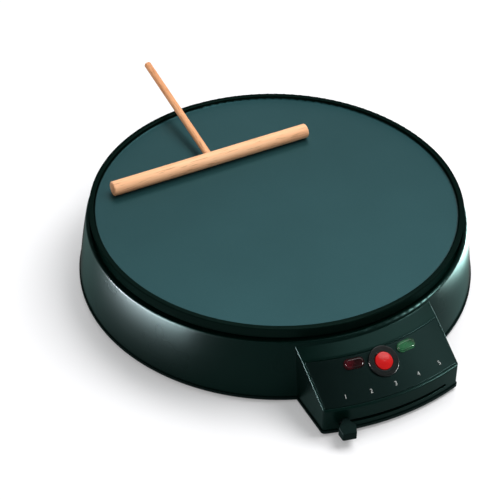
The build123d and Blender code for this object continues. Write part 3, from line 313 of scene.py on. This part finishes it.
def griddle_coating():
    """Non-stick coating: satin teal, pebbled and flecked; its lip carries painted shade: a
    darker colour, a dark tinted coat and a duller reflection tint.
    """
    made, tree, surface = new_material("griddle_coating")
    where = coordinates(tree)
    flat = add(tree, "VectorMath")
    flat.operation = "MULTIPLY"
    feed(flat, {0: where, 1: (1, 1, 0)})
    radius = length(tree, flat.outputs["Vector"])
    # Mask of the lip's painted shade: 1 on the lip, 0 in the well.
    painted_rim_shade = remap(tree, radius, (WELL_RADIUS, WELL_RADIUS + RIM_BLEND))
    cloud = noise(tree, where, scale=9, detail=3)
    pebble = noise(tree, where, scale=700, detail=3, rough=0.6)
    sparkle = add(tree, "TexVoronoi", {"Vector": where, "Scale": 1500}).outputs["Distance"]
    clouded = ramp(tree, cloud, [(NOISE_LOW, WELL_DARK), (NOISE_HIGH, WELL_PALE)])
    flecks = ramp(tree, sparkle, [(0.06, WELL_FLECK), (0.13, BLACK)])
    well = blend(tree, 0.25, clouded, flecks, "ADD")
    rounded = worn_edge(tree, 0.0007)
    # On the lip this tinted coat is painted shade that darkens the lip and what it reflects.
    tinted_coat(surface, RIM_SHADE_TINT)
    feed(surface, {
        "Base Color": blend(tree, painted_rim_shade, well, RIM_SHADE_COLOUR),
        "Roughness": remap(tree, pebble, NOISE_RANGE, (0.36, 0.46)),
        "Specular IOR Level": 0.40,
        "Specular Tint": blend(tree, painted_rim_shade, WELL_SHEEN, RIM_SHADED_SHEEN),
        "Coat Weight": painted_rim_shade,
        "Normal": bump(tree, pebble, strength=0.4, distance=0.00009, below=rounded),
    })
    return made


RAY_SHADE = (0.55, 0.48, 0.43)


def wood(name, turn, colours):
    """Beech turned along local X: long figure, short darker rays, open pores."""
    made, tree, surface = new_material(name)
    long_way = coordinates(tree, (5, 90, 90), turn)
    figure = noise(tree, long_way, scale=1.6, detail=6, rough=0.6)
    short_way = coordinates(tree, (70, 900, 900), turn)
    rays = noise(tree, short_way, scale=1.0, detail=2, rough=0.4)
    pores = noise(tree, coordinates(tree, (18, 1300, 1300), turn), scale=1.0, detail=3)
    body = ramp(tree, figure, list(zip((0.32, 0.5, 0.68), colours)))
    flecks = ramp(tree, rays, [(0.30, RAY_SHADE), (0.40, WHITE)])
    feed(surface, {
        "Base Color": blend(tree, 0.7, body, flecks, "MULTIPLY"),
        "Roughness": remap(tree, figure, NOISE_RANGE, (0.5, 0.66)),
        "Specular IOR Level": 0.18,
        "Normal": bump(tree, pores, strength=0.35, distance=0.00012),
    })
    return made


# ------------------------------------------------------------------ finishes of the nodes
TEAL = (0.60, 0.82, 0.80)
SHELL_EDGE, FINE_EDGE = 0.0007, 0.0004
finishes = {
    "griddle_plate": griddle_coating(),
    "housing_shell": moulded(
        "housing_plastic", (0.0003, 0.0058, 0.0040),
        rough=0.28, specular=0.075, grain=0.14, skin=TEAL, edge=SHELL_EDGE,
    ),
    "base_cover": moulded(
        "cover_plastic", (0.0010, 0.0026, 0.0022),
        rough=0.55, specular=0.10, grain=0.5, skin=TEAL, edge=FINE_EDGE,
    ),
    "control_fascia": moulded(
        "fascia_plastic", (0.0005, 0.0019, 0.0016),
        rough=0.30, specular=0.10, grain=0.2, skin=TEAL, edge=FINE_EDGE,
    ),
    "button_bezel": moulded(
        "bezel_plastic", (0.0008, 0.0024, 0.0022),
        rough=0.20, specular=0.18, grain=0.08, edge=FINE_EDGE,
    ),
    "power_button": moulded(
        "red_button_plastic", (0.46, 0.008, 0.008),
        rough=0.24, specular=0.12, grain=0.06, coat=0.05, edge=FINE_EDGE,
    ),
    "slider_knob": moulded(
        "knob_plastic", (0.0006, 0.0024, 0.0018),
        rough=0.46, specular=0.06, grain=0.6, skin=TEAL, edge=FINE_EDGE,
    ),
    # Each lens gets its dark body colour, then the paler colour of its painted glow.
    "red_lens": lens("red_lens_plastic", (0.010, 0.0002, 0.0006), (0.055, 0.0006, 0.004)),
    "green_lens": lens("green_lens_plastic", (0.002, 0.030, 0.010), (0.010, 0.10, 0.034)),
    "rubber_feet": moulded(
        "foot_rubber", (0.010, 0.010, 0.010), rough=0.8, specular=0.3, grain=0.8
    ),
    "inlet_bush": moulded(
        "bush_rubber", (0.008, 0.009, 0.009), rough=0.62, specular=0.35, grain=0.7
    ),
    "switch_body": moulded("switch_plastic", (0.02, 0.02, 0.02), rough=0.5),
    "terminal_block": moulded("block_plastic", (0.70, 0.68, 0.60), rough=0.5),
    "lamp_holders": moulded("lamp_plastic", (0.62, 0.61, 0.55), rough=0.5),
    "indicator_lamps": moulded(
        "lamp_glass", (0.75, 0.66, 0.55), rough=0.08, grain=0.02, coat=0.8
    ),
    "heating_element": metal("element_sheath", (0.16, 0.155, 0.15), rough=0.5),
    "heat_shield": metal("shield_steel", (0.68, 0.69, 0.69), rough=0.32, stretch=(1, 0.04, 1)),
    "shield_rivets": metal("rivet_aluminium", (0.74, 0.74, 0.74), rough=0.36),
    "thermostat_spindle": metal(
        "spindle_steel", (0.52, 0.52, 0.52), rough=0.26, stretch=(1, 1, 0.05)
    ),
    "sensor_bulb": metal("bulb_copper", (0.62, 0.27, 0.15), rough=0.3, stretch=(0.05, 1, 1)),
    "button_spring": metal("spring_steel", (0.55, 0.55, 0.55), rough=0.25),
    "element_insulators": fired("insulator_ceramic", (0.80, 0.77, 0.68)),
    "insulating_washers": fired("washer_mica", (0.42, 0.35, 0.22)),
    "thermostat_body": fired("thermostat_ceramic", (0.74, 0.70, 0.58)),
    "thermal_fuse": fired("fuse_ceramic", (0.82, 0.82, 0.79)),
    "spreader_bar": wood(
        "spreader_wood",
        (0, 0, radians(0.7)),
        ((0.74, 0.36, 0.185), (0.90, 0.48, 0.26), (0.97, 0.58, 0.34)),
    ),
    "spreader_handle": wood(
        "spreader_handle_wood",
        (0, radians(-8.5), radians(90.7)),
        ((0.60, 0.255, 0.110), (0.75, 0.355, 0.170), (0.85, 0.45, 0.240)),
    ),
}
LEAD_ROUGHNESS = 0.45
for name, sleeve, colour in (
    ("live_lead", "lead_brown", (0.12, 0.045, 0.02)),
    ("switched_lead", "lead_black", (0.015, 0.015, 0.015)),
    ("element_lead", "lead_red", (0.35, 0.02, 0.015)),
    ("fuse_lead", "lead_blue", (0.02, 0.07, 0.30)),
    ("neutral_lead", "lead_blue_second", (0.02, 0.07, 0.30)),
    ("earth_lead", "lead_green", (0.09, 0.28, 0.05)),
):
    finishes[name] = moulded(sleeve, colour, rough=LEAD_ROUGHNESS)
screw_steel = metal("screw_steel", (0.50, 0.51, 0.52), rough=0.3)
for name in ("strap_screws", "plate_screws", "base_screws", "lever_screw"):
    finishes[name] = screw_steel
tab_brass = metal("tab_brass", (0.72, 0.55, 0.22), rough=0.3)
for name in ("element_tabs", "switch_tabs", "thermostat_tabs", "earth_tab", "terminal_screws"):
    finishes[name] = tab_brass
plated_steel = metal("plated_steel", (0.62, 0.63, 0.64), rough=0.34)
for name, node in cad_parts.items():
    node.data.materials.clear()
    node.data.materials.append(finishes.get(name, plated_steel))

# ------------------------------------------------------------------ numerals on the fascia
# They stand on an arc about the plate's axis: radius in metres, angles in degrees.
NUMERAL_RADIUS, NUMERAL_MIDDLE, NUMERAL_STEP = 0.1898, 0.7, 6.15
NUMERAL_HEIGHT, TYPE_PER_HEIGHT = 0.0034, 1.4
INK_LIFT, INK_EXTRUDE, INK_THINNING = 0.00004, 0.00003, 0.00003
UP, CLEAR_ABOVE = Vector((0, 0, 1)), Vector((0, 0, 0.1))
ink = moulded("numeral_ink", (0.46, 0.48, 0.47), rough=0.5, specular=0.3, grain=0.1)
for steps, figure in enumerate("12345", start=-2):
    bearing = radians(NUMERAL_MIDDLE + steps * NUMERAL_STEP)
    outward = Vector((sin(bearing), -cos(bearing), 0))
    above = outward * NUMERAL_RADIUS + CLEAR_ABOVE
    _, spot, normal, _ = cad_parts["control_fascia"].ray_cast(above, -UP)
    along = UP.cross(outward)
    text = bpy.data.curves.new("numeral_" + figure, "FONT")
    text.body = figure
    text.size = NUMERAL_HEIGHT * TYPE_PER_HEIGHT
    text.align_x, text.align_y = "CENTER", "CENTER"
    text.extrude = INK_EXTRUDE
    text.offset = -INK_THINNING
    text.materials.append(ink)
    piece = new_object("numeral_" + figure, text)
    piece.matrix_world = standing(
        spot + normal * INK_LIFT, along, normal.cross(along), normal
    )
    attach(piece, "base")

# ------------------------------------------------------------------ button spring
# The spring shortens along the button's travel, so a coil that can be squashed stands for it.
coil_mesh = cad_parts["button_spring"].data.copy()
coil = new_object("button_spring_coil", coil_mesh)
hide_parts("button_spring")
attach(coil, "base")
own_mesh(coil)

# ------------------------------------------------------------------ floor
# Matt paper that takes the shadow; away from the object it turns into plain white.
FLOOR_SIZE, PAPER = 12, (0.91, 0.91, 0.925)
FADE_DISTANCES, FADE_SHARES = (0.24, 1.6), (0.2, 1.0)
bpy.ops.mesh.primitive_plane_add(size=FLOOR_SIZE)
floor = bpy.context.object
floor.name = "floor"
floor_paper = bpy.data.materials.new("floor_paper")
tree = emptied(floor_paper)
distance = length(tree, add(tree, "TexCoord").outputs["Object"])
fade = remap(tree, distance, FADE_DISTANCES, FADE_SHARES)
shows_white = ray_is(tree, "Is Camera Ray", "Is Glossy Ray", "Is Transmission Ray")
paper = add(tree, "MixShader", {
    "Fac": arithmetic(tree, "MULTIPLY", shows_white, fade),
    1: add(tree, "BsdfDiffuse", {"Color": PAPER}).outputs["BSDF"],
    2: add(tree, "Emission", {"Color": WHITE}).outputs["Emission"],
})
add(tree, "OutputMaterial", {"Surface": paper.outputs["Shader"]})
floor.data.materials.append(floor_paper)

# ------------------------------------------------------------------ world
# The camera sees white, reflections see a dome that darkens with height, the rest is even.
AMBIENT = (0.33, 0.33, 0.33)
DOME = [(0.05, WHITE), (0.35, (0.45, 0.45, 0.45)), (0.75, (0.2, 0.2, 0.2))]
world = bpy.data.worlds.new("studio")
bpy.context.scene.world = world
tree = emptied(world)
heading = add(tree, "TexCoord").outputs["Generated"]
dome = ramp(tree, add(tree, "SeparateXYZ", {"Vector": heading}).outputs["Z"], DOME)
reflected = ray_is(tree, "Is Glossy Ray", "Is Transmission Ray")
unseen = blend(tree, reflected, AMBIENT, dome)
colour = blend(tree, ray_is(tree, "Is Camera Ray"), unseen, WHITE)
sky = add(tree, "Background", {"Color": colour})
add(tree, "OutputWorld", {"Surface": sky.outputs["Background"]})

# ------------------------------------------------------------------ lamps
# The gloss-only lamps put sheen on these nodes alone, and none on the plate or the wood.
edge_lit = bpy.data.collections.new("edge_lit")
for name in (
    "housing_shell", "control_fascia", "button_bezel", "red_lens", "green_lens", "slider_knob"
):
    edge_lit.objects.link(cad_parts[name])


def softbox(name, place, aim, size, watts, gloss_only=False, colour=WHITE):
    """Rectangular area lamp, out of the camera's sight, that points at a spot."""
    data = bpy.data.lights.new(name, "AREA")
    data.shape = "RECTANGLE"
    data.size, data.size_y = size
    data.energy = watts
    data.color = colour
    lamp = new_object(name, data)
    lamp.location = place
    lamp.rotation_mode = "QUATERNION"
    lamp.rotation_quaternion = (Vector(aim) - Vector(place)).to_track_quat("-Z", "Y")
    lamp.visible_camera = False
    if gloss_only:
        lamp.visible_diffuse = False
        lamp.light_linking.receiver_collection = edge_lit


MIDDLE = (0, 0, 0.05)
EDGE_GLOW, CARD_GLOW = (1, 0.80, 0.84), (1, 0.68, 0.76)
softbox("key", (0.95, -0.10, 1.75), aim=MIDDLE, size=(1.2, 1.2), watts=33)
softbox("plate_sheen", (0.62, 1.21, 2.12), aim=MIDDLE, size=(1.2, 0.8), watts=15)
softbox("front_fill", (-0.9, -1.1, 1.6), aim=MIDDLE, size=(0.9, 0.9), watts=7)
softbox(
    "left_edge", (-1.07, -0.10, 0.47), aim=MIDDLE,
    size=(0.5, 0.3), watts=80, gloss_only=True, colour=EDGE_GLOW,
)
softbox(
    "front_edge", (0.77, -0.77, 0.45), aim=(0.05, -0.19, 0.025),
    size=(0.3, 0.2), watts=45, gloss_only=True,
)
softbox(
    "skirt_card", (-0.355, -0.02, 0.002), aim=(-0.355, -0.02, 0.5),
    size=(0.17, 0.24), watts=62, gloss_only=True, colour=CARD_GLOW,
)
softbox(
    "right_card", (0.27, -0.02, 0.002), aim=(0.27, -0.02, 0.5),
    size=(0.20, 0.30), watts=6, gloss_only=True,
)
